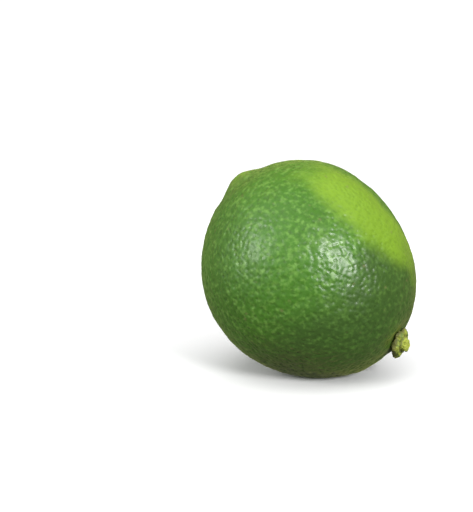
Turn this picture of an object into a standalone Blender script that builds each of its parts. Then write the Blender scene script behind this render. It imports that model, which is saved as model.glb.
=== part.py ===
"""A whole lime at rest on its small flat spot, with the button that it keeps when it is picked.

It has two pieces. fruit is the whole fruit as one solid. stem_button is the lobed calyx disc with the
short cut stem on it, which lies in a shallow seat at the stem end and can be flicked off as one piece.

The fruit's own frame has its origin in the middle of its long axis, +Z along that axis towards the stem
end, and -X towards the side that bulges. An empty turns and lifts that frame to the pose at rest, with
the world's origin on the floor under the fruit's centre of mass, and +Z up.
"""

import math

import bmesh
import bpy
from mathutils import Matrix, Vector
from mathutils.bvhtree import BVHTree

MM = 0.001

# The fruit, in its own frame.
FRUIT_LENGTH = 59.0 * MM          # along the long axis, without the nipple
FRUIT_WIDTH = 53.6 * MM           # across the long axis
STEM_END_TAPER = 0.045            # how much narrower the stem half is, and how much wider the other
SIDE_BULGE = 1.4 * MM             # how far the middle of the fruit is displaced towards -X
NIPPLE_HEIGHT = 1.7 * MM          # the blunt point at the end away from the stem
NIPPLE_RADIUS = 4.3 * MM          # where the nipple has fallen to a third of its height

# Where the button sits and which way it points, as angles from the long axis.
BUTTON_PLACE = math.radians(15.3) # angle of the place on the fruit
BUTTON_LEAN = math.radians(38)    # angle of the button's own axis
BUTTON_TURN = math.radians(41)    # direction of both, turned from +X towards +Y

# The button, in its own frame: +Z out of the fruit, origin at the middle of its underside.
CALYX_RADIUS = 4.2 * MM           # to the tips of the lobes
CALYX_EDGE = 1.4 * MM             # thickness of the disc at its rim
CALYX_HEIGHT = 2.0 * MM           # thickness of the disc where it meets the stem
CALYX_LOBES = 5
LOBE_DEPTH = 0.7 * MM             # from a lobe's tip back to the notch beside it
STEM_RADIUS = 1.65 * MM
STEM_LENGTH = 1.5 * MM            # from the top of the calyx to the cut end
STEM_FOOT = 0.4 * MM              # how much wider the stem is where it joins the calyx
CUT_ROUNDING = 0.25 * MM          # rounding of the cut end's rim

# The seat for the button.
BUTTON_SINK = 0.6 * MM            # how far the underside lies below the fruit's own curve
BUTTON_GAP = 0.3 * MM             # room all round the button, and under it
SEAT_HEIGHT = 4.0 * MM            # height of the cutter, which ends clear of the fruit
SEAT_FLARE = 3.0 * MM             # how much wider the cutter is at its top

# The pose at rest.
STEM_END_DIP = math.radians(50.8) # the stem end points down towards +X at this angle
LEAN_BACK = math.radians(15)      # the plane of that angle leans back, away from -Y, at its top
REST_REACH = 4.6 * MM             # least distance from under the centre of mass to the flat's edge

FRUIT_SEGMENTS = 48
FRUIT_RINGS = 36
RING_CROWDING = 0.22              # rings stand closer towards the two ends
BUTTON_SEGMENTS = 40
SEAT_SEGMENTS = 40
FLOOR_SAMPLES = 24

SKIN_COLOUR = (0.085, 0.235, 0.030, 1.0)
SKIN_ROUGHNESS = 0.26
BUTTON_COLOUR = (0.190, 0.265, 0.045, 1.0)
BUTTON_ROUGHNESS = 0.72
SHARP_ANGLE = math.radians(40)


def clear_scene():
    for item in list(bpy.data.objects):
        bpy.data.objects.remove(item, do_unlink=True)


def new_collection(name):
    collection = bpy.data.collections.new(name)
    bpy.context.scene.collection.children.link(collection)
    return collection


def new_material(name, colour, roughness):
    material = bpy.data.materials.new(name)
    material.use_nodes = True
    shader = material.node_tree.nodes["Principled BSDF"]
    shader.inputs["Base Color"].default_value = colour
    shader.inputs["Roughness"].default_value = roughness
    shader.inputs["Metallic"].default_value = 0.0
    material.diffuse_color = colour
    return material


def new_object(name, bm, collection, material=None):
    """Put a bmesh into the scene as a named object and free the bmesh."""
    mesh = bpy.data.meshes.new(name)
    bm.to_mesh(mesh)
    bm.free()
    if material:
        mesh.materials.append(material)
    mesh.shade_smooth()
    mesh.set_sharp_from_angle(angle=SHARP_ANGLE)
    item = bpy.data.objects.new(name, mesh)
    collection.objects.link(item)
    return item


def fruit_point(polar, turn):
    """A point of the fruit's curve: an ellipsoid that tapers, bulges to one side and ends in a nipple.

    polar is the angle from the stem end and turn the angle about the axis, from +X towards +Y.
    """
    across = FRUIT_WIDTH / 2 * math.sin(polar) * (1 - STEM_END_TAPER * math.cos(polar))
    along = FRUIT_LENGTH / 2 * math.cos(polar)
    if polar > math.pi / 2:
        along -= NIPPLE_HEIGHT * math.exp(-((across / NIPPLE_RADIUS) ** 2))
    shift = -SIDE_BULGE * math.sin(polar) ** 2
    return Vector((across * math.cos(turn) + shift, across * math.sin(turn), along))


def direction(polar, turn):
    side = math.sin(polar)
    return Vector((side * math.cos(turn), side * math.sin(turn), math.cos(polar)))


def uncut_fruit():
    """The fruit's curve as a mesh: a sphere with each point moved to its place on the curve."""
    bm = bmesh.new()
    bmesh.ops.create_uvsphere(bm, u_segments=FRUIT_SEGMENTS, v_segments=FRUIT_RINGS, radius=1)
    for vert in bm.verts:
        polar = math.atan2(math.hypot(vert.co.x, vert.co.y), vert.co.z)
        turn = math.atan2(vert.co.y, vert.co.x)
        crowded = polar - RING_CROWDING * math.sin(2 * polar)
        vert.co = fruit_point(crowded, turn)
    return bm


def centre_of_mass(bm):
    """The centroid of the closed mesh, summed over the tetrahedra from the origin to each triangle."""
    volume = 0.0
    moment = Vector()
    for loops in bm.calc_loop_triangles():
        a, b, c = (loop.vert.co for loop in loops)
        part = a.dot(b.cross(c)) / 6
        volume += part
        moment += part * (a + b + c) / 4
    return moment / volume


def floor_height(bm, turned, centre):
    """The height at which a level cut reaches REST_REACH all round the point under the centre of mass."""
    corners = [turned @ vert.co for vert in bm.verts]
    bm.verts.index_update()
    faces = [[vert.index for vert in face.verts] for face in bm.faces]
    surface = BVHTree.FromPolygons(corners, faces)
    below = -FRUIT_LENGTH
    heights = []
    for step in range(FLOOR_SAMPLES):
        turn = 2 * math.pi * step / FLOOR_SAMPLES
        reach = Vector((math.cos(turn), math.sin(turn), 0)) * REST_REACH
        start = Vector((centre.x, centre.y, below)) + reach
        hit = surface.ray_cast(start, Vector((0, 0, 1)))[0]
        heights.append(hit.z)
    return max(heights)


def cut_flat(bm, turned, height):
    """Cut the resting spot: level at the given height once the fruit is turned to its pose."""
    back = turned.inverted()
    cut = bmesh.ops.bisect_plane(
        bm,
        geom=bm.verts[:] + bm.edges[:] + bm.faces[:],
        plane_co=back @ Vector((0, 0, height)),
        plane_no=back @ Vector((0, 0, 1)),
        clear_inner=True,
    )
    rim = [item for item in cut["geom_cut"] if isinstance(item, bmesh.types.BMEdge)]
    bmesh.ops.contextual_create(bm, geom=rim)
    bmesh.ops.recalc_face_normals(bm, faces=bm.faces[:])


def button_profile():
    """Half of the button's section, from the middle of its underside to the middle of the cut end."""
    top = CALYX_HEIGHT + STEM_LENGTH
    foot = STEM_RADIUS + STEM_FOOT
    return [
        (0.0, 0.0),
        (foot, 0.0),
        (CALYX_RADIUS - CALYX_EDGE / 2, 0.0),
        (CALYX_RADIUS, CALYX_EDGE / 2),
        (CALYX_RADIUS - CALYX_EDGE / 2, CALYX_EDGE),
        ((CALYX_RADIUS + foot) / 2, (CALYX_EDGE + CALYX_HEIGHT) / 2),
        (foot, CALYX_HEIGHT),
        (STEM_RADIUS, CALYX_HEIGHT + STEM_FOOT),
        (STEM_RADIUS, top - CUT_ROUNDING),
        (STEM_RADIUS - CUT_ROUNDING, top),
        (0.0, top),
    ]


def button_mesh():
    """The profile spun about the button's axis, with its rim drawn in between the lobes."""
    bm = bmesh.new()
    points = [bm.verts.new((radius, 0, height)) for radius, height in button_profile()]
    lines = [bm.edges.new(pair) for pair in zip(points, points[1:])]
    bmesh.ops.spin(
        bm,
        geom=points + lines,
        cent=(0, 0, 0),
        axis=(0, 0, 1),
        angle=2 * math.pi,
        steps=BUTTON_SEGMENTS,
        use_merge=True,
    )
    bmesh.ops.remove_doubles(bm, verts=bm.verts[:], dist=CUT_ROUNDING / 100)
    foot = STEM_RADIUS + STEM_FOOT
    for vert in bm.verts:
        radius = math.hypot(vert.co.x, vert.co.y)
        if radius <= foot:
            continue
        turn = math.atan2(vert.co.y, vert.co.x)
        notch = (1 - math.cos(CALYX_LOBES * turn)) / 2
        outward = (radius - foot) / (CALYX_RADIUS - foot)
        drawn_in = radius - LOBE_DEPTH * notch * outward
        vert.co.x *= drawn_in / radius
        vert.co.y *= drawn_in / radius
    bmesh.ops.recalc_face_normals(bm, faces=bm.faces[:])
    return bm


def seat_mesh():
    """A cone that opens outwards from just under the button."""
    bm = bmesh.new()
    bmesh.ops.create_cone(
        bm,
        cap_ends=True,
        segments=SEAT_SEGMENTS,
        radius1=CALYX_RADIUS + BUTTON_GAP,
        radius2=CALYX_RADIUS + BUTTON_GAP + SEAT_FLARE,
        depth=SEAT_HEIGHT,
        matrix=Matrix.Translation((0, 0, SEAT_HEIGHT / 2 - BUTTON_GAP)),
    )
    return bm


def place_at_button(item, holder):
    """Set the item's origin in the seat, with its +Z along the button's axis."""
    item.parent = holder
    axis = direction(BUTTON_LEAN, BUTTON_TURN)
    item.location = fruit_point(BUTTON_PLACE, BUTTON_TURN) - axis * BUTTON_SINK
    item.rotation_euler = axis.to_track_quat("Z", "Y").to_euler()


def main():
    clear_scene()
    lime = new_collection("lime")
    cutters = new_collection("cutters")
    skin = new_material("lime_skin", SKIN_COLOUR, SKIN_ROUGHNESS)
    dry_green = new_material("dry_calyx", BUTTON_COLOUR, BUTTON_ROUGHNESS)

    # From the fruit's frame to the world's: face about, dip the stem end, then lean that plane back.
    face_about = Matrix.Rotation(math.pi, 3, "Z")
    dip = Matrix.Rotation(math.pi / 2 + STEM_END_DIP, 3, "Y")
    lean = Matrix.Rotation(-LEAN_BACK, 3, "X")
    turned = lean @ dip @ face_about

    fruit_mesh = uncut_fruit()
    centre = turned @ centre_of_mass(fruit_mesh)
    height = floor_height(fruit_mesh, turned, centre)
    cut_flat(fruit_mesh, turned, height)

    holder = bpy.data.objects.new("fruit_axis", None)
    lime.objects.link(holder)
    holder.rotation_euler = turned.to_euler()
    holder.location = (-centre.x, -centre.y, -height)

    fruit = new_object("fruit", fruit_mesh, lime, skin)
    fruit.parent = holder

    button = new_object("stem_button", button_mesh(), lime, dry_green)
    place_at_button(button, holder)

    seat = new_object("seat_cutter", seat_mesh(), cutters)
    place_at_button(seat, holder)
    seat.hide_render = True
    seat.display_type = "WIRE"

    cut = fruit.modifiers.new("button_seat", "BOOLEAN")
    cut.operation = "DIFFERENCE"
    cut.solver = "EXACT"
    cut.object = seat


main()
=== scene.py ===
"""The finished look of a whole lime: its waxy, pitted skin, and the dry button at its stem end.

Laid out as a Blender add-on and run as a script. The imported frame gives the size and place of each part.
The fruit's own frame, used below, has its origin in the middle of the long axis, +Z along that axis
towards the stem end, and -X towards the side that bulges.
"""

import math

import bpy
import numpy as np
from mathutils import Matrix, Vector


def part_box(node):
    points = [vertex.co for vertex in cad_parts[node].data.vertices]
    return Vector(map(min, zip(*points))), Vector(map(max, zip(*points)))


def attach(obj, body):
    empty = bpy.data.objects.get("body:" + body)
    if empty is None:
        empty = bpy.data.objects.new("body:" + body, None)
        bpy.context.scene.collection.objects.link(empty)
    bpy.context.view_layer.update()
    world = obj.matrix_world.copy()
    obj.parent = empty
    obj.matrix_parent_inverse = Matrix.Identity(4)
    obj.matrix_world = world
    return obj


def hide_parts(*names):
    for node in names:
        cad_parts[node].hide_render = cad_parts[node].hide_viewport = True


bl_info = {
    "name": "Lime",
    "version": (1, 0, 0),
    "blender": (4, 5, 0),
    "location": "View3D > Sidebar > Lime",
    "description": "A whole lime with its dry stem button, on a pale floor in soft light",
    "category": "Add Mesh",
}

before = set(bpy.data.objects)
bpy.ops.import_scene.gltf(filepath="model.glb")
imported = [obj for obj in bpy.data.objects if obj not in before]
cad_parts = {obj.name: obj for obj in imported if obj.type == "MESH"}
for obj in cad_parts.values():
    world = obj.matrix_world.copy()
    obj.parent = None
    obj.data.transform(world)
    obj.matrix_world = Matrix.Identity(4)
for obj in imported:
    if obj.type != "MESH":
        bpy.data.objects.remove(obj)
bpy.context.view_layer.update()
FRUIT_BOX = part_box("fruit")

MM = 0.001

# The fruit's curve and pose, the same as the frame's.
FRUIT_LENGTH = 59.0 * MM
FRUIT_WIDTH = 53.6 * MM
STEM_END_TAPER = 0.045
SIDE_BULGE = 1.4 * MM
NIPPLE_HEIGHT = 1.7 * MM
NIPPLE_RADIUS = 4.3 * MM
STEM_END_DIP = math.radians(50.8)
LEAN_BACK = math.radians(15)

# The button's place, lean and size, the same as the frame's.
BUTTON_PLACE = math.radians(15.3)
BUTTON_LEAN = math.radians(38)
BUTTON_TURN = math.radians(41)
BUTTON_SINK = 0.60 * MM
CALYX_RADIUS = 4.2 * MM
CALYX_HEIGHT = 2.0 * MM
CALYX_EDGE = 1.4 * MM
CALYX_LOBES = 5
STEM_RADIUS = 1.65 * MM
STEM_LENGTH = 1.5 * MM
STEM_FOOT = 0.4 * MM

# How finely the surfaces are divided.
FRUIT_GRID = 127                  # squares along each side of the six patches
BUTTON_TURNS = 220                # points round the button
BUTTON_ROWS = 150                 # points along its profile
BODY_GRID = 40                    # squares along each patch of the coarse body that only finds the pose

# The swellings of the skin: wavelength, share of the lump height, and seed.
SWELLINGS = (
    (26 * MM, 1.00, 1),
    (11 * MM, 0.30, 2),
    (5 * MM, 0.17, 3),
    (2.4 * MM, 0.12, 9),
)

# The roughness of the dry button: size, wavelength and first seed.
BUTTON_ROUGHNESS = (
    (0.035 * MM, 0.9 * MM, 31),
    (0.08 * MM, 2.2 * MM, 41),
)

# The stage, in metres and degrees, and the camera's lens and sensor in millimetres.
STAGE_RADIUS = 4.0
STAGE_SIDES = 96
WALL_HEIGHT = 3.0
MAIN_AZIMUTH = -60
MAIN_ELEVATION = 35
MAIN_FOCUS = 3.0                  # power of the cosine by which the dome's bright side falls off
SOFTBOX_DISTANCE = 0.6
TOP_LIGHT_DISTANCE = 1.5          # any distance gives the same light
CAMERA_LENS = 135.0
CAMERA_SENSOR = 36.0
CAMERA_ELEVATION = 15
CAMERA_DISTANCE = 0.4988
AIM_LEFT = 18.70 * MM
AIM_UP = 2.8 * MM


# ---------------------------------------------------------------- settings


class LimeFruitSettings(bpy.types.PropertyGroup):
    """The skin's relief and colours."""

    gland_spacing: bpy.props.FloatProperty(
        name="Gland spacing", description="Distance between neighbouring oil glands",
        default=1.30 * MM, unit="LENGTH", precision=5)
    gland_depth: bpy.props.FloatProperty(
        name="Gland depth", description="Depth of the pit over an oil gland",
        default=0.20 * MM, unit="LENGTH", precision=6)
    lump_height: bpy.props.FloatProperty(
        name="Lump height", description="Height of the broad swellings of the skin",
        default=0.16 * MM, unit="LENGTH", precision=6)
    furrow_depth: bpy.props.FloatProperty(
        name="Furrow depth", description="Depth of the furrows that run out from the button",
        default=0.22 * MM, unit="LENGTH", precision=6)
    # The deep green also stands for painted shade: on the stem half, beside the pale band and in the gland
    # pits.
    deep_green: bpy.props.FloatVectorProperty(
        name="Deep green", description="Skin colour in its darkest areas",
        default=(0.043, 0.100, 0.016, 1.0), size=4, subtype="COLOR", min=0, max=1)
    mid_green: bpy.props.FloatVectorProperty(
        name="Mid green", description="Skin colour over most of the fruit",
        default=(0.056, 0.178, 0.012, 1.0), size=4, subtype="COLOR", min=0, max=1)
    pale_green: bpy.props.FloatVectorProperty(
        name="Pale green", description="Yellow-green of the side that grew in the shade",
        default=(0.186, 0.334, 0.020, 1.0), size=4, subtype="COLOR", min=0, max=1)
    # The flecks are partly the skin's own lighter flecks and partly painted highlights, standing in for
    # glints on the pits' edges.
    fleck_and_glint_green: bpy.props.FloatVectorProperty(
        name="Fleck green", description="Light green of the fine flecks between the glands",
        default=(0.185, 0.375, 0.065, 1.0), size=4, subtype="COLOR", min=0, max=1)
    scar_brown: bpy.props.FloatVectorProperty(
        name="Scar brown", description="Corky brown of the nipple's tip and of small scars",
        default=(0.165, 0.150, 0.055, 1.0), size=4, subtype="COLOR", min=0, max=1)


class LimeButtonSettings(bpy.types.PropertyGroup):
    """The calyx's and the stem's shape and colours."""

    lobe_depth: bpy.props.FloatProperty(
        name="Lobe depth", description="From a lobe's tip back to the notch beside it",
        default=0.85 * MM, unit="LENGTH", precision=5)
    lobe_curl: bpy.props.FloatProperty(
        name="Lobe curl", description="How far the lobes' tips lift off the skin",
        default=0.30 * MM, unit="LENGTH", precision=5)
    calyx_green: bpy.props.FloatVectorProperty(
        name="Calyx green", description="Olive green of the calyx",
        default=(0.130, 0.215, 0.035, 1.0), size=4, subtype="COLOR", min=0, max=1)
    dry_brown: bpy.props.FloatVectorProperty(
        name="Dry brown", description="Brown of the calyx's dried rim and of the hollows",
        default=(0.085, 0.070, 0.025, 1.0), size=4, subtype="COLOR", min=0, max=1)
    stem_green: bpy.props.FloatVectorProperty(
        name="Stem green", description="Yellow-green of the short stem and its cut end",
        default=(0.420, 0.480, 0.065, 1.0), size=4, subtype="COLOR", min=0, max=1)


class LimeStageSettings(bpy.types.PropertyGroup):
    """The floor and the lights."""

    floor_colour: bpy.props.FloatVectorProperty(
        name="Floor colour", description="Colour of the plain floor and of the backdrop round it",
        default=(0.98, 0.98, 0.98, 1.0), size=4, subtype="COLOR", min=0, max=1)
    dome_strength: bpy.props.FloatProperty(
        name="Dome strength", description="Strength of the even light from all round",
        default=0.12, min=0)
    main_strength: bpy.props.FloatProperty(
        name="Main strength", description="Strength of the dome's bright side, at the front left",
        default=1.15, min=0)
    top_power: bpy.props.FloatProperty(
        name="Top light", description="Strength of the wide light overhead, in watts per square metre",
        default=2.15, min=0)
    front_power: bpy.props.FloatProperty(
        name="Front light", description="Power of the small softbox at the front right, in watts",
        default=3.1, min=0)
    side_power: bpy.props.FloatProperty(
        name="Side light", description="Power of the softbox at the left, in watts",
        default=1.2, min=0)


# ---------------------------------------------------------------- shared shapes and patterns


def smoothstep(low, high, value):
    """0 below low, 1 above high, and the cubic 3t^2 - 2t^3 between them."""
    share = np.clip((value - low) / (high - low), 0.0, 1.0)
    return share * share * (3.0 - 2.0 * share)


def bell(distance, width):
    """exp(-(distance / width)^2): 1 in the middle and about a third at the width."""
    return np.exp(-((distance / width) ** 2))


def unit(vectors):
    """The vectors scaled to length 1."""
    return vectors / np.linalg.norm(vectors, axis=-1, keepdims=True)


def waves(points, wavelength, seed, count=28):
    """A smooth random field of about unit size: a sum of cosine waves of one length in random directions."""
    rng = np.random.default_rng(seed)
    ways = unit(rng.normal(size=(count, 3)))
    phases = rng.uniform(0.0, 2.0 * np.pi, count)
    turns = points @ ways.T * (2.0 * np.pi / wavelength) + phases
    return np.cos(turns).sum(axis=1) * math.sqrt(2.0 / count)


def polar_direction(polar, turn):
    """The unit vector at an angle from +Z, turned from +X towards +Y."""
    across = math.sin(polar)
    return np.array([across * math.cos(turn), across * math.sin(turn), math.cos(polar)])


def fruit_curve(ways):
    """The fruit's smooth body, as a function of the direction from the middle of its axis.

    With p the angle from the stem end: an ellipsoid, (W/2) sin p (1 - taper cos p) across and
    (L/2) cos p along, shifted by -bulge sin^2 p in X, and with a bell-shaped nipple at p = 180 degrees.
    """
    cosine = ways[:, 2]
    sine = np.hypot(ways[:, 0], ways[:, 1])
    across = FRUIT_WIDTH / 2 * (1.0 - STEM_END_TAPER * cosine)
    nipple = NIPPLE_HEIGHT * bell(across * sine, NIPPLE_RADIUS) * (cosine < 0.0)
    along = FRUIT_LENGTH / 2 * cosine - nipple
    shift = -SIDE_BULGE * sine ** 2
    return np.stack([across * ways[:, 0] + shift, across * ways[:, 1], along], axis=1)


def fruit_normals(ways):
    """The body's outward normals: the cross product of two small steps over the surface."""
    step = 1e-3
    helper = np.where(np.abs(ways[:, 2:3]) < 0.9, [[0.0, 0.0, 1.0]], [[1.0, 0.0, 0.0]])
    first = unit(np.cross(helper, ways))
    second = np.cross(ways, first)
    along_first = fruit_curve(unit(ways + step * first)) - fruit_curve(unit(ways - step * first))
    along_second = fruit_curve(unit(ways + step * second)) - fruit_curve(unit(ways - step * second))
    return unit(np.cross(along_first, along_second))


def cube_directions(count):
    """Directions spread evenly over a sphere: a square grid on each side of a cube, seen from its middle.

    Each grid line stands at tan(angle) for equal steps of angle, so that the squares are nearly equal.
    Returns the directions, each only once along the cube's edges, and the squares' corner numbers.
    """
    line = np.tan(np.linspace(-np.pi / 4, np.pi / 4, count + 1))
    first, second = np.meshgrid(line, line, indexing="ij")
    number = np.arange((count + 1) ** 2).reshape(count + 1, count + 1)
    corners = [number[:-1, :-1], number[1:, :-1], number[1:, 1:], number[:-1, 1:]]
    square = np.stack([corner.ravel() for corner in corners], axis=1)
    points, squares = [], []
    for axis in range(3):
        for side in (1.0, -1.0):
            patch = np.empty((number.size, 3))
            patch[:, axis] = side
            patch[:, (axis + 1) % 3] = first.ravel()
            patch[:, (axis + 2) % 3] = second.ravel()
            squares.append((square if side > 0 else square[:, ::-1]) + len(points) * number.size)
            points.append(unit(patch))
    points = np.concatenate(points)
    _, kept, place = np.unique(np.round(points, 7), axis=0, return_index=True, return_inverse=True)
    return points[kept], place.reshape(-1)[np.concatenate(squares)]


def pose_matrix():
    """From the fruit's frame to the world's: face about, dip the stem end, then lean that plane back."""
    face_about = Matrix.Rotation(math.pi, 3, "Z")
    dip = Matrix.Rotation(math.pi / 2 + STEM_END_DIP, 3, "Y")
    lean = Matrix.Rotation(-LEAN_BACK, 3, "X")
    return np.array(lean @ dip @ face_about)


def pose_offset():
    """Where the fruit's own origin lies in the world.

    The smooth body's box is centred on the frame's box in X and Y, and has its top at the same height.
    The bottoms differ, because the frame's fruit is cut flat there.
    """
    ways, _ = cube_directions(BODY_GRID)
    body = fruit_curve(ways) @ pose_matrix().T
    low, high = np.array(FRUIT_BOX[0]), np.array(FRUIT_BOX[1])
    offset = (low + high) / 2 - (body.min(axis=0) + body.max(axis=0)) / 2
    offset[2] = high[2] - body[:, 2].max()
    return offset


def to_world(points):
    """Points of the fruit's own frame, in the world."""
    return points @ pose_matrix().T + pose_offset()


def button_axes():
    """The button's origin in the fruit's frame, and its X, Y and Z directions as rows."""
    axis = polar_direction(BUTTON_LEAN, BUTTON_TURN)
    place = fruit_curve(polar_direction(BUTTON_PLACE, BUTTON_TURN)[None])[0]
    turn = np.array(Vector(axis).to_track_quat("Z", "Y").to_matrix())
    return place - axis * BUTTON_SINK, turn.T


def new_piece(name, points, faces, material, replaced, attributes):
    """Make a closed mesh at its place in the world, with its attributes, and tie it to the frame."""
    mesh = bpy.data.meshes.new(name)
    mesh.from_pydata(points.tolist(), [], faces)
    mesh.materials.append(material)
    for label, values in attributes.items():
        layer = mesh.attributes.new(label, "FLOAT", "POINT")
        layer.data.foreach_set("value", values.astype(np.float32))
    mesh.shade_smooth()
    mesh.update()
    piece = bpy.data.objects.new(name, mesh)
    bpy.context.scene.collection.objects.link(piece)
    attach(piece, "root")
    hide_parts(replaced)


# ---------------------------------------------------------------- materials


class NodeKit:
    """Short calls for a material's nodes, all fed by Object coordinates or named attributes."""

    def __init__(self, name):
        self.material = bpy.data.materials.new(name)
        self.material.use_nodes = True
        self.nodes = self.material.node_tree.nodes
        self.links = self.material.node_tree.links
        self.shader = self.nodes["Principled BSDF"]
        self.place = self.nodes.new("ShaderNodeTexCoord").outputs["Object"]

    def feed(self, socket, value):
        """Link another node's output to the socket, or set a plain value on it."""
        if isinstance(value, bpy.types.NodeSocket):
            self.links.new(value, socket)
        else:
            socket.default_value = value

    def set_shader(self, **values):
        """Set the shader's sockets, named with underscores for spaces, and return the material."""
        for name, value in values.items():
            self.feed(self.shader.inputs[name.replace("_", " ")], value)
        return self.material

    def attribute(self, name):
        node = self.nodes.new("ShaderNodeAttribute")
        node.attribute_name = name
        return node.outputs["Fac"]

    def noise(self, size, detail=3.0, roughness=0.5, distortion=0.0):
        """Noise from 0 to 1 whose features are about the given size in metres."""
        node = self.nodes.new("ShaderNodeTexNoise")
        self.links.new(self.place, node.inputs["Vector"])
        node.inputs["Scale"].default_value = 1.0 / size
        node.inputs["Detail"].default_value = detail
        node.inputs["Roughness"].default_value = roughness
        node.inputs["Distortion"].default_value = distortion
        return node.outputs["Fac"]

    def cells(self, size):
        """Distance to the nearest of random points, in units of their spacing, given in metres."""
        node = self.nodes.new("ShaderNodeTexVoronoi")
        self.links.new(self.place, node.inputs["Vector"])
        node.inputs["Scale"].default_value = 1.0 / size
        return node.outputs["Distance"]

    def span(self, value, low, high, new_low=0.0, new_high=1.0):
        """Map low..high to new_low..new_high smoothly."""
        node = self.nodes.new("ShaderNodeMapRange")
        node.interpolation_type = "SMOOTHSTEP"
        self.feed(node.inputs["Value"], value)
        node.inputs["From Min"].default_value = low
        node.inputs["From Max"].default_value = high
        node.inputs["To Min"].default_value = new_low
        node.inputs["To Max"].default_value = new_high
        return node.outputs["Result"]

    def maths(self, operation, first, second):
        """One of the Math node's operations on two values: ADD, SUBTRACT or MULTIPLY."""
        node = self.nodes.new("ShaderNodeMath")
        node.operation = operation
        self.feed(node.inputs[0], first)
        self.feed(node.inputs[1], second)
        return node.outputs["Value"]

    def mix(self, share, first, second):
        """The first colour, with the given share of the second."""
        node = self.nodes.new("ShaderNodeMix")
        node.data_type = "RGBA"
        self.feed(node.inputs["Factor"], share)
        self.feed(node.inputs["A"], first)
        self.feed(node.inputs["B"], second)
        return node.outputs["Result"]

    def bump(self, height, distance, strength=1.0, under=None):
        """Fine relief, over that of another bump node if one is given."""
        node = self.nodes.new("ShaderNodeBump")
        node.inputs["Strength"].default_value = strength
        node.inputs["Distance"].default_value = distance
        self.feed(node.inputs["Height"], height)
        if under:
            self.links.new(under, node.inputs["Normal"])
        return node.outputs["Normal"]


def skin_colour(kit, settings):
    """Mottled greens with light flecks, partly painted highlights; paler on one side; deeper on the stem half
    and beside the pale band, partly painted shade; darker over each gland, partly painted shade in the pits;
    and corky scars.
    """
    deep, mid = tuple(settings.deep_green), tuple(settings.mid_green)
    pale, light = tuple(settings.pale_green), tuple(settings.fleck_and_glint_green)
    brown = tuple(settings.scar_brown)

    clouds = kit.span(kit.noise(18 * MM, distortion=0.4), 0.25, 0.70, new_low=0.80)
    patches = kit.span(kit.noise(3.5 * MM), 0.30, 0.70, new_low=0.84)
    # Less the deep attribute: painted shade on the stem half, partly the stem end's own deeper green, and
    # painted shade beside the pale band.
    lightness = kit.maths("SUBTRACT", kit.maths("MULTIPLY", clouds, patches), kit.attribute("deep"))
    colour = kit.mix(lightness, deep, mid)

    # Light flecks between the glands: partly the skin's own, partly painted highlights standing in for glints
    # on the pits' edges.
    flecks = kit.span(kit.noise(1.25 * MM), 0.44, 0.74, new_high=0.60)
    fewer_when_deep = kit.span(kit.attribute("deep"), 0.0, 1.0, new_low=1.0, new_high=0.45)
    colour = kit.mix(kit.maths("MULTIPLY", flecks, fewer_when_deep), colour, light)

    unevenness = kit.span(kit.noise(6 * MM), 0.3, 0.7, new_low=-0.10, new_high=0.10)
    paleness = kit.span(kit.maths("ADD", kit.attribute("pale"), unevenness), 0.05, 0.95)
    colour = kit.mix(paleness, colour, pale)

    weaker_when_pale = kit.span(paleness, 0.0, 1.0, new_low=0.62, new_high=0.25)
    # Darker over each gland: partly the gland's own colour, partly painted shade in its pit; less so on the
    # pale band.
    colour = kit.mix(kit.maths("MULTIPLY", kit.attribute("gland"), weaker_when_pale), colour, deep)
    return kit.mix(kit.attribute("scar"), colour, brown)


def skin_material(settings):
    """Waxed rind: a soft gloss, duller on the scars, a greenish bloom, and pores finer than the glands."""
    kit = NodeKit("lime_skin")
    gloss = kit.span(kit.noise(3 * MM, detail=4.0), 0.3, 0.7, new_low=0.32, new_high=0.40)
    duller_on_scars = kit.maths("MULTIPLY", kit.attribute("scar"), 0.3)
    grain = kit.bump(kit.noise(0.28 * MM), distance=0.02 * MM, strength=0.35)
    pores = kit.bump(kit.span(kit.cells(0.9 * MM), 0.0, 0.55), distance=0.016 * MM, under=grain)
    return kit.set_shader(
        Base_Color=skin_colour(kit, settings),
        Roughness=kit.maths("ADD", gloss, duller_on_scars),
        IOR=1.52,
        Sheen_Weight=0.28,
        Sheen_Roughness=0.4,
        Sheen_Tint=(0.75, 0.80, 0.15, 1.0),
        Normal=pores,
    )


def button_material(settings):
    """Dry olive calyx with a brown rim and hollows, and a yellow-green stem, all with brown streaks."""
    kit = NodeKit("dry_calyx")
    green, brown = tuple(settings.calyx_green), tuple(settings.dry_brown)
    stem = tuple(settings.stem_green)
    blotches = kit.span(kit.noise(0.9 * MM, detail=5.0, roughness=0.6), 0.35, 0.65)
    colour = kit.mix(kit.attribute("stem"), kit.mix(blotches, green, stem), stem)
    streaks = kit.span(kit.noise(0.35 * MM, detail=4.0), 0.5, 0.75, new_high=0.55)
    colour = kit.mix(streaks, colour, brown)
    return kit.set_shader(
        Base_Color=kit.mix(kit.attribute("dry"), colour, brown),
        Roughness=kit.span(kit.noise(0.6 * MM), 0.3, 0.7, new_low=0.58, new_high=0.82),
        Normal=kit.bump(kit.noise(0.15 * MM, detail=4.0), distance=0.04 * MM, strength=0.7),
    )


def floor_material(settings):
    """Plain matte white with a trace of unevenness."""
    kit = NodeKit("pale_floor")
    colour = tuple(settings.floor_colour)
    dimmer = tuple(0.985 * part for part in colour[:3]) + (1.0,)
    return kit.set_shader(
        Base_Color=kit.mix(kit.noise(0.4), colour, dimmer),
        Roughness=0.9,
        Specular_IOR_Level=0.2,
    )


def backdrop_material(settings):
    """A wall that shows the floor's colour by itself, so that it needs no light."""
    return NodeKit("pale_backdrop").set_shader(
        Base_Color=(0.0, 0.0, 0.0, 1.0),
        Specular_IOR_Level=0.0,
        Emission_Color=tuple(settings.floor_colour),
        Emission_Strength=1.0,
    )


# ---------------------------------------------------------------- the fruit


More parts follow.
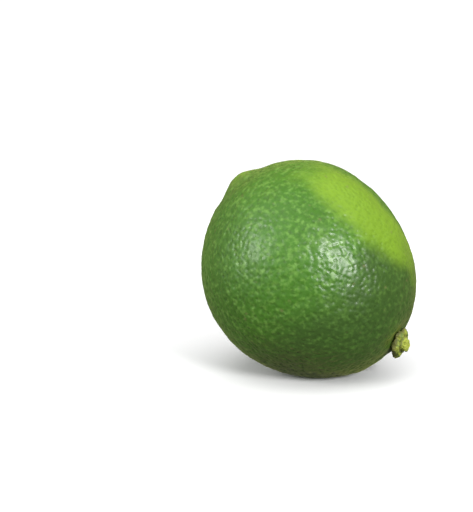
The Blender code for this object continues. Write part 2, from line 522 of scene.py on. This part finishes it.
def gland_centres(spacing, seed):
    """Points on a sunflower spiral round the fruit, each moved at random by part of the spacing.

    Their number is the area of a sphere of the fruit's mean radius over the area of one six-sided cell.
    """
    area = 4 * np.pi * (FRUIT_LENGTH / 2 * (FRUIT_WIDTH / 2) ** 2) ** (2 / 3)
    count = int(area / (spacing ** 2 * math.sqrt(3) / 2))
    step = np.arange(count) + 0.5
    height = 1.0 - 2.0 * step / count
    turn = np.pi * (1.0 + math.sqrt(5.0)) * step
    across = np.sqrt(1.0 - height ** 2)
    ways = np.stack([across * np.cos(turn), across * np.sin(turn), height], axis=1)
    rng = np.random.default_rng(seed)
    shift = 0.34 * spacing / (FRUIT_WIDTH / 2)
    return fruit_curve(unit(ways + rng.normal(scale=shift, size=ways.shape)))


def nearest(points, centres):
    """For each point, the distance to the nearest centre and that centre's number, in blocks of points."""
    block = 2000
    points, centres = points.astype(np.float32), centres.astype(np.float32)
    centre_squares = (centres ** 2).sum(axis=1)
    distances, numbers = [], []
    for start in range(0, len(points), block):
        part = points[start:start + block]
        squares = centre_squares - 2.0 * part @ centres.T
        number = squares.argmin(axis=1)
        numbers.append(number)
        distances.append(np.linalg.norm(part - centres[number], axis=1))
    return np.concatenate(distances), np.concatenate(numbers)


def gland_pits(body, settings):
    """Depth of the pits over the glands, and how strongly each point is over a gland, from 0 to 1.

    A pit is a smoothstep bowl round its gland's centre. Its width and depth vary from gland to gland.
    """
    centres = gland_centres(settings.gland_spacing, seed=11)
    distance, number = nearest(body, centres)
    rng = np.random.default_rng(12)
    radius = settings.gland_spacing * rng.uniform(0.36, 0.60, len(centres))[number]
    depth = settings.gland_depth * rng.uniform(0.35, 1.25, len(centres))[number]
    # The tone darkens the colour over each gland: partly the gland's own colour, partly painted shade in the
    # pit.
    tone = rng.uniform(0.2, 1.0, len(centres))[number]
    bowl = 1.0 - smoothstep(0.0, 1.0, distance / radius)
    return depth * bowl, tone * bowl


def corky_specks(body):
    """Small round scars about 10 mm apart, from 0 to 0.55, each of its own size."""
    centres = gland_centres(9.5 * MM, seed=21)
    distance, number = nearest(body, centres)
    size = np.random.default_rng(22).uniform(0.1, 0.55, len(centres))[number] * MM
    return (1.0 - smoothstep(0.5, 1.0, distance / size)) * 0.55


def swellings(body, ways, settings):
    """Height of the broad swellings, which are waves of several lengths, and of ten faint ribs.

    With a the angle round the axis and p the angle from the stem end, the ribs are cos(10 a) sin^2 p.
    """
    lumps = sum(share * waves(body, wavelength, seed) for wavelength, share, seed in SWELLINGS)
    turn = np.arctan2(ways[:, 1], ways[:, 0])
    swing = 0.6 * waves(body, 30 * MM, seed=4)
    ribs = np.cos(10 * turn + swing) * (1.0 - ways[:, 2] ** 2)
    rib_height = 0.05 * MM
    return settings.lump_height * lumps + rib_height * ribs


def button_furrows(body, settings):
    """Depth of the furrows: (1 - cos 7a) / 2 within a soft ring, with a the angle round the button."""
    ring_radius, ring_width, depth_below = 6.0 * MM, 3.6 * MM, 10 * MM
    origin, rows = button_axes()
    local = (body - origin) @ rows.T
    radius = np.hypot(local[:, 0], local[:, 1])
    near = np.where(local[:, 2] > -depth_below, bell(radius - ring_radius, ring_width), 0.0)
    swing = 0.8 * waves(body, 12 * MM, seed=5)
    furrows = 0.5 - 0.5 * np.cos(7 * np.arctan2(local[:, 1], local[:, 0]) + swing)
    return settings.furrow_depth * near * furrows


def nipple_creases(body, ways, from_tip):
    """Depth round the nipple: a ring, nine creases inside the ring, and a dimple at the tip."""
    ring_radius, ring_width, ring_depth = 6.6 * MM, 1.7 * MM, 0.20 * MM
    crease_radius, crease_width, crease_depth = 3.4 * MM, 1.8 * MM, 0.12 * MM
    dimple_width, dimple_depth = 0.9 * MM, 0.35 * MM
    turn = np.arctan2(ways[:, 1], ways[:, 0])
    creases = 0.5 - 0.5 * np.cos(9 * turn + 0.9 * waves(body, 6 * MM, seed=6))
    ring = ring_depth * bell(from_tip - ring_radius, ring_width)
    ring += crease_depth * creases * bell(from_tip - crease_radius, crease_width)
    return ring + dimple_depth * bell(from_tip, dimple_width)


def pale_areas(body, turn, from_tip):
    """From about 0 to 1, how much of the pale green shows: a band along one side, and the nipple.

    The band's middle swings from 38 to 14 degrees round the axis as it runs to the stem end, and the band
    fades towards both ends.
    """
    along = body[:, 2]
    middle = np.radians(38.0 - 24.0 * smoothstep(-2 * MM, 22 * MM, along))
    band = 1.0 - smoothstep(math.radians(8), math.radians(30), np.abs(turn - middle))
    ends = 1.0 - 0.6 * smoothstep(5 * MM, 18 * MM, along) - 0.4 * smoothstep(18 * MM, 27 * MM, along)
    ends *= smoothstep(-29 * MM, -11 * MM, along)
    return band * ends + 0.05 * waves(body, 16 * MM, seed=7) + 0.55 * bell(from_tip, 4.5 * MM)


def deep_green_and_painted_shade(body, turn):
    """From 0 to 1, how much of the deep green shows: on the stem half, partly the stem end's own deeper green
    and partly painted shade, and sooner beside the pale band, where it is painted shade.
    """
    along = body[:, 2]
    beside_band = bell(turn - math.radians(56), math.radians(16))
    return np.maximum(
        0.85 * smoothstep(0.0, 14 * MM, along),
        0.95 * smoothstep(-1 * MM, 8 * MM, along) * beside_band,
    )


def press_seat(points):
    """Draw the skin to the button's underside, within a few millimetres of it, and fade that out further off.

    The height along the button's axis is mixed with that of the seat by a weight, which falls from 1 to 0
    between an inner and an outer distance from that axis. The seat falls away a little beyond the rim.
    """
    origin, rows = button_axes()
    local = (points - origin) @ rows.T
    radius = np.hypot(local[:, 0], local[:, 1])
    inner = 0.35 * CALYX_RADIUS
    outer = np.where(local[:, 2] < 0.0, 1.15, 1.9) * CALYX_RADIUS
    weight = (1.0 - smoothstep(inner, outer, radius)) * (local[:, 2] > -6 * MM)
    seat = -0.10 * MM - 0.30 * MM * smoothstep(0.6 * CALYX_RADIUS, 1.3 * CALYX_RADIUS, radius)
    return points + ((seat - local[:, 2]) * weight)[:, None] * rows[2]


def rest_on_floor(points):
    """Flatten the skin where it meets the floor: height z becomes (z + sqrt(z^2 + k^2)) / 2."""
    softness = 0.25 * MM
    height = points[:, 2]
    level = (height + np.sqrt(height ** 2 + softness ** 2)) / 2
    return np.column_stack([points[:, :2], level])


def fruit_surface(settings):
    """The skin: the smooth body moved along its normals by swellings, furrows, creases, pits and scars.

    The distance from the tip is measured across the axis on the nipple's half, and is a metre on the other.
    """
    ways, squares = cube_directions(FRUIT_GRID)
    body = fruit_curve(ways)
    turn = np.arctan2(ways[:, 1], ways[:, 0])
    far_off = 1.0
    from_tip = np.where(ways[:, 2] < 0, np.hypot(ways[:, 0], ways[:, 1]) * FRUIT_WIDTH / 2, far_off)

    pit, gland = gland_pits(body, settings)
    quiet = 1.0 - 0.6 * bell(from_tip, 3.0 * MM)
    speck = corky_specks(body)
    height = swellings(body, ways, settings) - button_furrows(body, settings)
    height += 0.02 * MM * speck - nipple_creases(body, ways, from_tip) - pit * quiet

    cork = 0.35 * bell(from_tip, 6.0 * MM) * (0.6 + 0.4 * waves(body, 1.6 * MM, seed=8))
    tones = {
        "pale": pale_areas(body, turn, from_tip),
        # Painted shade on the stem half, partly the stem end's own deeper green, and beside the pale band.
        "deep": deep_green_and_painted_shade(body, turn),
        # The darkening over each gland, partly painted shade in its pit.
        "gland": gland * quiet,
        "scar": np.clip(0.9 * bell(from_tip, 0.9 * MM) + speck + cork, 0.0, 1.0),
    }
    skin = press_seat(body + height[:, None] * fruit_normals(ways))
    return rest_on_floor(to_world(skin)), squares.tolist(), tones


class LIME_OT_make_fruit(bpy.types.Operator):
    """Make the whole fruit's skin in place of its plain solid"""

    bl_idname = "lime.make_fruit"
    bl_label = "Make fruit"

    def execute(self, context):
        settings = context.scene.lime_fruit
        points, faces, tones = fruit_surface(settings)
        new_piece("lime_fruit", points, faces, skin_material(settings), "fruit", tones)
        return {"FINISHED"}


# ---------------------------------------------------------------- the button


def button_profile(rows):
    """Half of the button's section, evenly divided: radius and height from the underside to the cut end.

    Straight runs between a few corners, then each point is averaged with its neighbours to round them.
    """
    foot = STEM_RADIUS + STEM_FOOT
    top = CALYX_HEIGHT + STEM_LENGTH
    corners = np.array([
        (0.0, 0.1 * MM),
        (CALYX_RADIUS * 0.55, 0.1 * MM),
        (CALYX_RADIUS, CALYX_EDGE * 0.35),
        (CALYX_RADIUS, CALYX_EDGE * 0.75),
        (CALYX_RADIUS * 0.75, CALYX_EDGE * 1.5),
        (foot * 1.05, CALYX_HEIGHT * 0.95),
        (STEM_RADIUS * 0.96, CALYX_HEIGHT + STEM_FOOT * 1.4),
        (STEM_RADIUS * 0.92, CALYX_HEIGHT + STEM_LENGTH * 0.55),
        (STEM_RADIUS * 1.02, top - 0.30 * MM),
        (STEM_RADIUS * 0.90, top),
        (STEM_RADIUS * 0.55, top - 0.06 * MM),
        (0.0, top - 0.10 * MM),
    ])
    lengths = np.concatenate([[0.0], np.cumsum(np.linalg.norm(np.diff(corners, axis=0), axis=1))])
    even = np.linspace(0.0, lengths[-1], rows)
    line = np.stack([np.interp(even, lengths, corners[:, part]) for part in range(2)], axis=1)
    reach = 3
    padded = np.pad(line, ((reach, reach), (0, 0)), mode="edge")
    rounded = sum(padded[shift:shift + rows] for shift in range(2 * reach + 1)) / (2 * reach + 1)
    rounded[0] = line[0]
    rounded[-1] = line[-1]
    return rounded


def shape_calyx(radius, height, turns, spread, on_calyx, settings):
    """Cut the disc into lobes and curl, wrinkle and rib them. Returns the new radius and height.

    With a the angle round the axis, slightly uneven, and n lobes, a lobe is |cos(n a / 2)|. The rim is
    drawn in by depth * (1 - lobe)^0.8 and lifted by a curl that is stronger on one side, and each lobe
    has a bell-shaped rib down its middle.
    """
    uneven_turns = turns + 0.10 * np.sin(turns + 0.7) + 0.06 * np.sin(2 * turns + 2.0)
    lobe = np.abs(np.cos(CALYX_LOBES / 2 * uneven_turns))
    uneven_depth = 1.0 + 0.25 * np.sin(turns + 4.0) + 0.15 * np.sin(3 * turns + 1.0)
    draw_in = settings.lobe_depth * uneven_depth * (1.0 - lobe) ** 0.8
    wrinkle = 0.05 * MM * np.cos(31 * turns + 1.5 * np.sin(3 * turns)) + 0.04 * MM * np.cos(17 * turns + 1.0)
    curl = settings.lobe_curl * spread ** 2 * (0.35 + 0.65 * lobe * np.cos(turns - 0.9))
    rib = 0.10 * MM * bell(1.0 - lobe, 0.12) * 4 * spread * (1.0 - spread)
    new_radius = radius - (draw_in + 0.8 * wrinkle) * spread * on_calyx
    return new_radius, height + (curl + wrinkle * spread + rib) * on_calyx


def shape_stem(radius, height, turns, on_calyx):
    """Rib the stem, and slope and ring its cut end. Returns the new radius and height.

    The ribs are cos(13 a) and cos(29 a) with a the angle round the axis, and the rings cos(2 pi r / 0.33 mm).
    """
    top = CALYX_HEIGHT + STEM_LENGTH
    upright = smoothstep(CALYX_HEIGHT, CALYX_HEIGHT + 0.6 * MM, height) * ~on_calyx
    ribs = 0.06 * MM * np.cos(13 * turns + 0.8 * np.sin(2 * turns)) + 0.03 * MM * np.cos(29 * turns + 2.0)
    share = np.clip(radius / STEM_RADIUS, 0.0, 1.0)
    new_radius = radius + ribs * upright * share ** 2
    slope = 0.12 * np.cos(turns - 0.6) * new_radius * smoothstep(CALYX_HEIGHT * 1.6, top, height)
    on_cut_end = (height > top - 0.2 * MM) * (share < 0.85)
    rings = 0.03 * MM * np.cos(2.0 * np.pi * new_radius / (0.33 * MM)) * on_cut_end
    return new_radius, height + slope * ~on_calyx + rings


def button_tones(radius, height, spread, on_calyx):
    """From 0 to 1: how much stem shows, and how dry a point is, at the rim, in the hollow and in the pith."""
    foot = STEM_RADIUS + STEM_FOOT
    stem = smoothstep(CALYX_HEIGHT, CALYX_HEIGHT + 0.8 * MM, height) * ~on_calyx
    rim = (spread * on_calyx) ** 6
    hollow = (1.0 - smoothstep(0.0, 0.5 * MM, np.abs(height - CALYX_HEIGHT))) * (radius < foot * 1.2)
    pith = (1.0 - smoothstep(0.2 * MM, 0.45 * MM, radius)) * (height > 3.0 * MM)
    return {"stem": stem, "dry": np.clip(0.75 * rim + 0.6 * hollow + 0.7 * pith, 0.0, 1.0)}


def button_faces(rows, columns):
    """Four-sided faces between neighbouring rows, and a fan of triangles to the pole at each end.

    The grid's points are numbered row by row, and the bottom and top poles come after them.
    """
    number = np.arange(rows * columns).reshape(rows, columns)
    beside = np.roll(number, -1, axis=1)
    bottom, top = np.full(columns, rows * columns), np.full(columns, rows * columns + 1)
    walls = np.stack([number[:-1], beside[:-1], beside[1:], number[1:]], axis=2).reshape(-1, 4)
    under = np.stack([bottom, beside[0], number[0]], axis=1)
    over = np.stack([top, number[-1], beside[-1]], axis=1)
    return walls.tolist() + under.tolist() + over.tolist()


def button_surface(settings):
    """The profile turned about the button's axis, then lobed, ribbed and roughened by small waves."""
    profile = button_profile(BUTTON_ROWS)
    bottom, ring, top = profile[0], profile[1:-1], profile[-1]
    turn = np.arange(BUTTON_TURNS) * (2.0 * np.pi / BUTTON_TURNS)
    radius, turns = np.meshgrid(ring[:, 0], turn, indexing="ij")
    height = np.repeat(ring[:, 1:], BUTTON_TURNS, axis=1)
    spread = smoothstep(STEM_RADIUS + STEM_FOOT, CALYX_RADIUS, radius)
    on_calyx = height < CALYX_HEIGHT * 1.02
    radius, height = shape_calyx(radius, height, turns, spread, on_calyx, settings)
    radius, height = shape_stem(radius, height, turns, on_calyx)

    radius = np.append(radius, [0.0, 0.0])
    turns = np.append(turns, [0.0, 0.0])
    height = np.append(height, [bottom[1], top[1]])
    spread = np.append(spread, [0.0, 0.0])
    on_calyx = np.append(on_calyx, [True, False])
    local = np.stack([radius * np.cos(turns), radius * np.sin(turns), height], axis=1)
    for size, wavelength, seed in BUTTON_ROUGHNESS:
        local += size * np.stack([waves(local, wavelength, seed + part) for part in range(3)], axis=1)

    origin, rows = button_axes()
    points = to_world(origin + local @ rows)
    return points, button_faces(len(ring), BUTTON_TURNS), button_tones(radius, height, spread, on_calyx)


class LIME_OT_make_stem_button(bpy.types.Operator):
    """Make the lobed calyx and the cut stem in place of their plain solid"""

    bl_idname = "lime.make_stem_button"
    bl_label = "Make stem button"

    def execute(self, context):
        settings = context.scene.lime_button
        points, faces, tones = button_surface(settings)
        material = button_material(settings)
        new_piece("lime_stem_button", points, faces, material, "stem_button", tones)
        return {"FINISHED"}


# ---------------------------------------------------------------- the stage


def stand_off(azimuth, elevation, distance, target):
    """A place at a distance from the target. Azimuth 0 is in front, at -Y, and 90 is at +X."""
    around, above = math.radians(azimuth), math.radians(elevation)
    way = Vector((math.sin(around) * math.cos(above), -math.cos(around) * math.cos(above), math.sin(above)))
    return target + way * distance


def add_aimed(name, data, place, target):
    """Add a light or a camera at a place, turned to look at the target."""
    item = bpy.data.objects.new(name, data)
    bpy.context.scene.collection.objects.link(item)
    item.location = place
    item.rotation_euler = (target - place).to_track_quat("-Z", "Y").to_euler()
    return item


def add_softbox(name, power, target, width, azimuth, elevation):
    """A round softbox that shines on the target and stays out of sight."""
    light = bpy.data.lights.new(name, "AREA")
    light.shape = "DISK"
    light.size = width
    light.energy = power
    place = stand_off(azimuth, elevation, SOFTBOX_DISTANCE, target)
    add_aimed(name, light, place, target).visible_camera = False


def add_top_light(power, target, azimuth, elevation):
    """A light far overhead that fills a wide part of the sky, so that it lights the floor evenly."""
    light = bpy.data.lights.new("top_light", "SUN")
    light.energy = power
    light.angle = math.radians(90)
    place = stand_off(azimuth, elevation, TOP_LIGHT_DISTANCE, target)
    add_aimed("top_light", light, place, target).visible_glossy = False


def add_stage_piece(name, corners, faces, material):
    """A piece of the stage that the camera sees and that neither lights the fruit nor shows in its gloss."""
    mesh = bpy.data.meshes.new(name)
    mesh.from_pydata(corners.tolist(), [], faces.tolist())
    mesh.materials.append(material)
    piece = bpy.data.objects.new(name, mesh)
    bpy.context.scene.collection.objects.link(piece)
    piece.visible_diffuse = False
    piece.visible_glossy = False
    return piece


def add_floor_and_backdrop(settings):
    """A round floor, and a pale wall round its edge that casts no shadow."""
    turn = np.linspace(0.0, 2.0 * np.pi, STAGE_SIDES, endpoint=False)
    rim = np.stack([STAGE_RADIUS * np.cos(turn), STAGE_RADIUS * np.sin(turn), 0.0 * turn], axis=1)
    number = np.arange(STAGE_SIDES)
    beside = np.roll(number, -1)
    sides = np.stack([number, number + STAGE_SIDES, beside + STAGE_SIDES, beside], axis=1)
    upper = rim + np.array([0.0, 0.0, WALL_HEIGHT])
    add_stage_piece("floor", rim, number[None], floor_material(settings))
    wall = add_stage_piece("backdrop", np.concatenate([rim, upper]), sides, backdrop_material(settings))
    wall.visible_shadow = False


def add_dome(settings):
    """Light from all round, with a bright side: even + main * max(0, cos a)^3, a from the main direction."""
    world = bpy.data.worlds.new("dome")
    world.use_nodes = True
    nodes, links = world.node_tree.nodes, world.node_tree.links
    way = nodes.new("ShaderNodeTexCoord").outputs["Generated"]
    closeness = nodes.new("ShaderNodeVectorMath")
    closeness.operation = "DOT_PRODUCT"
    closeness.inputs[1].default_value = stand_off(MAIN_AZIMUTH, MAIN_ELEVATION, 1.0, Vector())
    links.new(way, closeness.inputs[0])
    strength = closeness.outputs["Value"]
    for operation, value in (
        ("MAXIMUM", 0.0),
        ("POWER", MAIN_FOCUS),
        ("MULTIPLY", settings.main_strength),
        ("ADD", settings.dome_strength),
    ):
        step = nodes.new("ShaderNodeMath")
        step.operation = operation
        step.inputs[1].default_value = value
        links.new(strength, step.inputs[0])
        strength = step.outputs["Value"]
    links.new(strength, nodes["Background"].inputs["Strength"])
    nodes["Background"].inputs["Color"].default_value = (1.0, 1.0, 1.0, 1.0)
    bpy.context.scene.world = world


def add_camera(middle):
    """A long lens, a little above the horizon. It aims to the left of the fruit's middle and above it."""
    camera = bpy.data.cameras.new("camera")
    camera.lens = CAMERA_LENS
    camera.sensor_width = CAMERA_SENSOR
    camera.clip_start = 0.01
    elevation = math.radians(CAMERA_ELEVATION)
    up = Vector((0.0, math.sin(elevation), math.cos(elevation)))
    target = middle + Vector((-AIM_LEFT, 0.0, 0.0)) + up * AIM_UP
    place = stand_off(0, CAMERA_ELEVATION, CAMERA_DISTANCE, target)
    bpy.context.scene.camera = add_aimed("camera", camera, place, target)


class LIME_OT_make_stage(bpy.types.Operator):
    """Make the floor, the lights and the camera"""

    bl_idname = "lime.make_stage"
    bl_label = "Make stage"

    def execute(self, context):
        settings = context.scene.lime_stage
        middle = (Vector(FRUIT_BOX[0]) + Vector(FRUIT_BOX[1])) / 2
        add_floor_and_backdrop(settings)
        add_dome(settings)
        add_top_light(settings.top_power, middle, azimuth=100, elevation=75)
        add_softbox("front_softbox", settings.front_power, middle, width=0.18, azimuth=34, elevation=23)
        add_softbox("side_softbox", settings.side_power, middle, width=0.25, azimuth=-63, elevation=24)
        add_camera(middle)
        context.scene.view_settings.view_transform = "Standard"
        return {"FINISHED"}


# ---------------------------------------------------------------- panel and registration


class LIME_PT_panel(bpy.types.Panel):
    """The lime's pieces and their settings"""

    bl_idname = "LIME_PT_panel"
    bl_label = "Lime"
    bl_space_type = "VIEW_3D"
    bl_region_type = "UI"
    bl_category = "Lime"

    def draw(self, context):
        layout = self.layout
        for operator, settings in (
            (LIME_OT_make_fruit, context.scene.lime_fruit),
            (LIME_OT_make_stem_button, context.scene.lime_button),
            (LIME_OT_make_stage, context.scene.lime_stage),
        ):
            box = layout.box()
            for name in settings.__annotations__:
                box.prop(settings, name)
            box.operator(operator.bl_idname)


CLASSES = (
    LimeFruitSettings,
    LimeButtonSettings,
    LimeStageSettings,
    LIME_OT_make_fruit,
    LIME_OT_make_stem_button,
    LIME_OT_make_stage,
    LIME_PT_panel,
)


def register():
    for item in CLASSES:
        bpy.utils.register_class(item)
    bpy.types.Scene.lime_fruit = bpy.props.PointerProperty(type=LimeFruitSettings)
    bpy.types.Scene.lime_button = bpy.props.PointerProperty(type=LimeButtonSettings)
    bpy.types.Scene.lime_stage = bpy.props.PointerProperty(type=LimeStageSettings)


def unregister():
    del bpy.types.Scene.lime_stage
    del bpy.types.Scene.lime_button
    del bpy.types.Scene.lime_fruit
    for item in reversed(CLASSES):
        bpy.utils.unregister_class(item)


def main():
    register()
    bpy.ops.lime.make_stage()
    bpy.ops.lime.make_fruit()
    bpy.ops.lime.make_stem_button()


if __name__ == "__main__":
    main()
